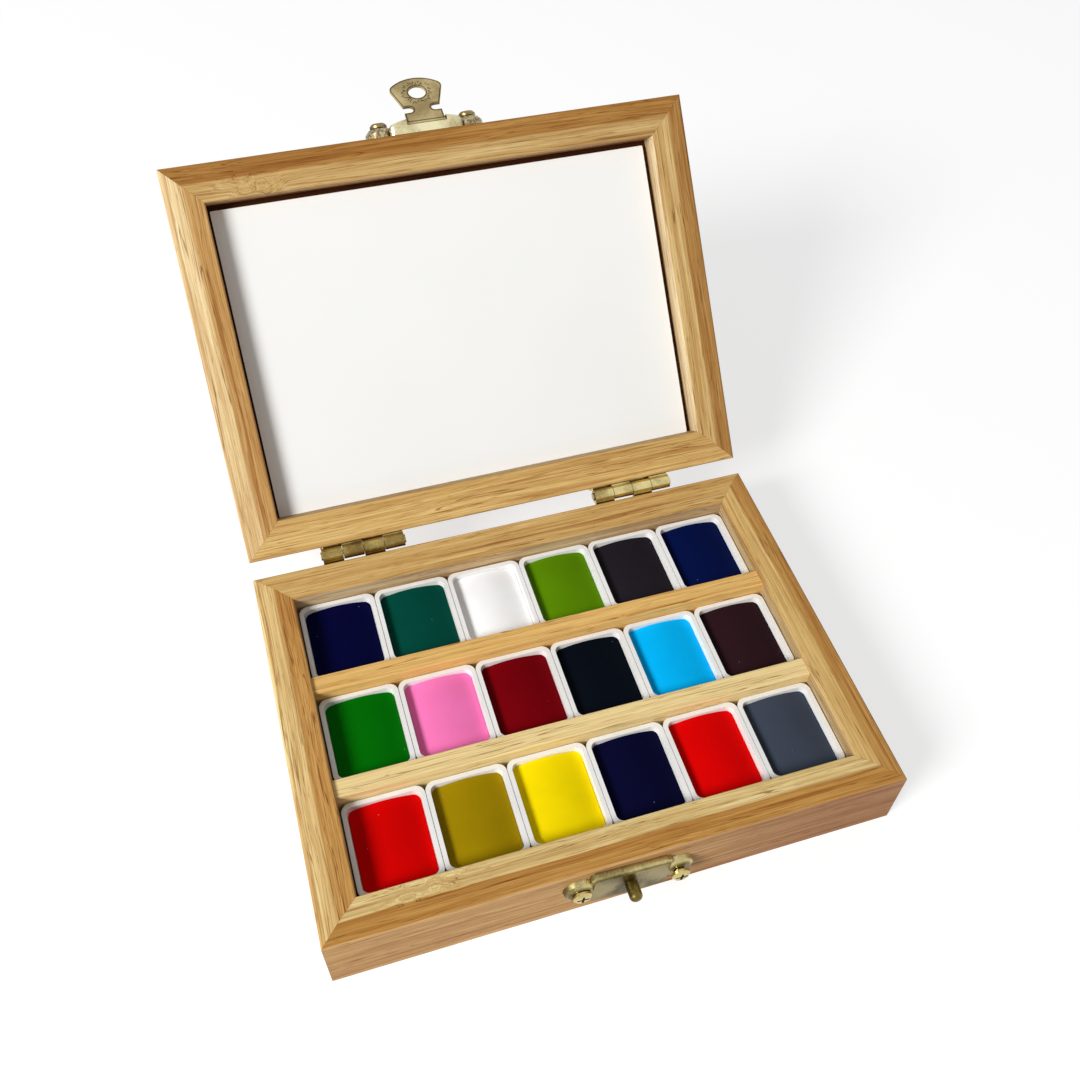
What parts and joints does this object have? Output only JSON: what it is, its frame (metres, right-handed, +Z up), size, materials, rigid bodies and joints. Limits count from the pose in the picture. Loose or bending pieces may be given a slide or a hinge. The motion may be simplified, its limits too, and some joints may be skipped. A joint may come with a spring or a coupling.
{
  "type": "watercolour paint box",
  "caption": "Hinged bamboo box that holds half pans of watercolour in three rows, with a white mixing panel in its framed lid and a brass hasp.",
  "frame": {"origin": "centre of the base's underside, on the surface it rests on", "axes": "+X to the right along the long side, +Y back to the hinges, +Z up"},
  "size_m": [0.1116, 0.1581, 0.0827],
  "materials": {
    "bamboo": "sanded bamboo with fine lengthwise grain, clear matt lacquer",
    "bamboo_board": "thin sanded bamboo board, lengthwise grain",
    "white_panel": "smooth matt white mixing panel",
    "hinge_brass": "aged brass, rubbed bright on the knuckles",
    "clasp_brass": "aged stamped brass",
    "pan_plastic": "moulded white plastic, satin",
    "paint_back_1": "dried watercolour paint, satin, arched top",
    "paint_back_2": "dried watercolour paint, satin, arched top",
    "paint_back_3": "dried watercolour paint, satin, arched top",
    "paint_back_4": "dried watercolour paint, satin, arched top",
    "paint_back_5": "dried watercolour paint, satin, arched top",
    "paint_back_6": "dried watercolour paint, satin, arched top",
    "paint_middle_1": "dried watercolour paint, satin, arched top",
    "paint_middle_2": "dried watercolour paint, satin, arched top",
    "paint_middle_3": "dried watercolour paint, satin, arched top",
    "paint_middle_4": "dried watercolour paint, satin, arched top",
    "paint_middle_5": "dried watercolour paint, satin, arched top",
    "paint_middle_6": "dried watercolour paint, satin, arched top",
    "paint_front_1": "dried watercolour paint, satin, arched top",
    "paint_front_2": "dried watercolour paint, satin, arched top",
    "paint_front_3": "dried watercolour paint, satin, arched top",
    "paint_front_4": "dried watercolour paint, satin, arched top",
    "paint_front_5": "dried watercolour paint, satin, arched top",
    "paint_front_6": "dried watercolour paint, satin, arched top"
  },
  "bodies": {
    "base": {"base_front_rail": "bamboo", "base_back_rail": "bamboo", "base_left_rail": "bamboo", "base_right_rail": "bamboo", "base_floor_panel": "bamboo_board", "divider_rear": "bamboo", "divider_front": "bamboo", "left_hinge_base_leaf": "hinge_brass", "right_hinge_base_leaf": "hinge_brass", "hinge_pins": "hinge_brass", "catch_plate": "clasp_brass", "catch_post": "clasp_brass", "base_screws": "clasp_brass"},
    "lid": {"lid_front_rail": "bamboo", "lid_back_rail": "bamboo", "lid_left_rail": "bamboo", "lid_right_rail": "bamboo", "lid_outer_board": "bamboo_board", "mixing_panel": "white_panel", "left_hinge_lid_leaf": "hinge_brass", "right_hinge_lid_leaf": "hinge_brass", "hasp_plate": "clasp_brass", "lid_screws": "clasp_brass"},
    "tongue": {"hasp_tongue": "clasp_brass"},
    "pan_back_1": {"half_pan_back_1": "pan_plastic", "paint_back_1": "paint_back_1"},
    "pan_back_2": {"half_pan_back_2": "pan_plastic", "paint_back_2": "paint_back_2"},
    "pan_back_3": {"half_pan_back_3": "pan_plastic", "paint_back_3": "paint_back_3"},
    "pan_back_4": {"half_pan_back_4": "pan_plastic", "paint_back_4": "paint_back_4"},
    "pan_back_5": {"half_pan_back_5": "pan_plastic", "paint_back_5": "paint_back_5"},
    "pan_back_6": {"half_pan_back_6": "pan_plastic", "paint_back_6": "paint_back_6"},
    "pan_middle_1": {"half_pan_middle_1": "pan_plastic", "paint_middle_1": "paint_middle_1"},
    "pan_middle_2": {"half_pan_middle_2": "pan_plastic", "paint_middle_2": "paint_middle_2"},
    "pan_middle_3": {"half_pan_middle_3": "pan_plastic", "paint_middle_3": "paint_middle_3"},
    "pan_middle_4": {"half_pan_middle_4": "pan_plastic", "paint_middle_4": "paint_middle_4"},
    "pan_middle_5": {"half_pan_middle_5": "pan_plastic", "paint_middle_5": "paint_middle_5"},
    "pan_middle_6": {"half_pan_middle_6": "pan_plastic", "paint_middle_6": "paint_middle_6"},
    "pan_front_1": {"half_pan_front_1": "pan_plastic", "paint_front_1": "paint_front_1"},
    "pan_front_2": {"half_pan_front_2": "pan_plastic", "paint_front_2": "paint_front_2"},
    "pan_front_3": {"half_pan_front_3": "pan_plastic", "paint_front_3": "paint_front_3"},
    "pan_front_4": {"half_pan_front_4": "pan_plastic", "paint_front_4": "paint_front_4"},
    "pan_front_5": {"half_pan_front_5": "pan_plastic", "paint_front_5": "paint_front_5"},
    "pan_front_6": {"half_pan_front_6": "pan_plastic", "paint_front_6": "paint_front_6"}
  },
  "joints": [
    {"name": "lid_hinge", "type": "hinge", "parent": "base", "child": "lid", "pos_m": [0, 0.0425, 0.01653], "axis": [-1, 0, 0], "range_deg": [-131, 0]},
    {"name": "tongue_hinge", "type": "hinge", "parent": "lid", "child": "tongue", "pos_m": [-0.00035, 0.09955, 0.07976], "axis": [-1, 0, 0], "range_deg": [-127, 0]},
    {"name": "lift_back_1", "type": "slide", "parent": "base", "child": "pan_back_1", "axis": [0, 0, 1], "range_m": [0, 0.014]},
    {"name": "lift_back_2", "type": "slide", "parent": "base", "child": "pan_back_2", "axis": [0, 0, 1], "range_m": [0, 0.014]},
    {"name": "lift_back_3", "type": "slide", "parent": "base", "child": "pan_back_3", "axis": [0, 0, 1], "range_m": [0, 0.014]},
    {"name": "lift_back_4", "type": "slide", "parent": "base", "child": "pan_back_4", "axis": [0, 0, 1], "range_m": [0, 0.014]},
    {"name": "lift_back_5", "type": "slide", "parent": "base", "child": "pan_back_5", "axis": [0, 0, 1], "range_m": [0, 0.014]},
    {"name": "lift_back_6", "type": "slide", "parent": "base", "child": "pan_back_6", "axis": [0, 0, 1], "range_m": [0, 0.014]},
    {"name": "lift_middle_1", "type": "slide", "parent": "base", "child": "pan_middle_1", "axis": [0, 0, 1], "range_m": [0, 0.014]},
    {"name": "lift_middle_2", "type": "slide", "parent": "base", "child": "pan_middle_2", "axis": [0, 0, 1], "range_m": [0, 0.014]},
    {"name": "lift_middle_3", "type": "slide", "parent": "base", "child": "pan_middle_3", "axis": [0, 0, 1], "range_m": [0, 0.014]},
    {"name": "lift_middle_4", "type": "slide", "parent": "base", "child": "pan_middle_4", "axis": [0, 0, 1], "range_m": [0, 0.014]},
    {"name": "lift_middle_5", "type": "slide", "parent": "base", "child": "pan_middle_5", "axis": [0, 0, 1], "range_m": [0, 0.014]},
    {"name": "lift_middle_6", "type": "slide", "parent": "base", "child": "pan_middle_6", "axis": [0, 0, 1], "range_m": [0, 0.014]},
    {"name": "lift_front_1", "type": "slide", "parent": "base", "child": "pan_front_1", "axis": [0, 0, 1], "range_m": [0, 0.014]},
    {"name": "lift_front_2", "type": "slide", "parent": "base", "child": "pan_front_2", "axis": [0, 0, 1], "range_m": [0, 0.014]},
    {"name": "lift_front_3", "type": "slide", "parent": "base", "child": "pan_front_3", "axis": [0, 0, 1], "range_m": [0, 0.014]},
    {"name": "lift_front_4", "type": "slide", "parent": "base", "child": "pan_front_4", "axis": [0, 0, 1], "range_m": [0, 0.014]},
    {"name": "lift_front_5", "type": "slide", "parent": "base", "child": "pan_front_5", "axis": [0, 0, 1], "range_m": [0, 0.014]},
    {"name": "lift_front_6", "type": "slide", "parent": "base", "child": "pan_front_6", "axis": [0, 0, 1], "range_m": [0, 0.014]}
  ]
}
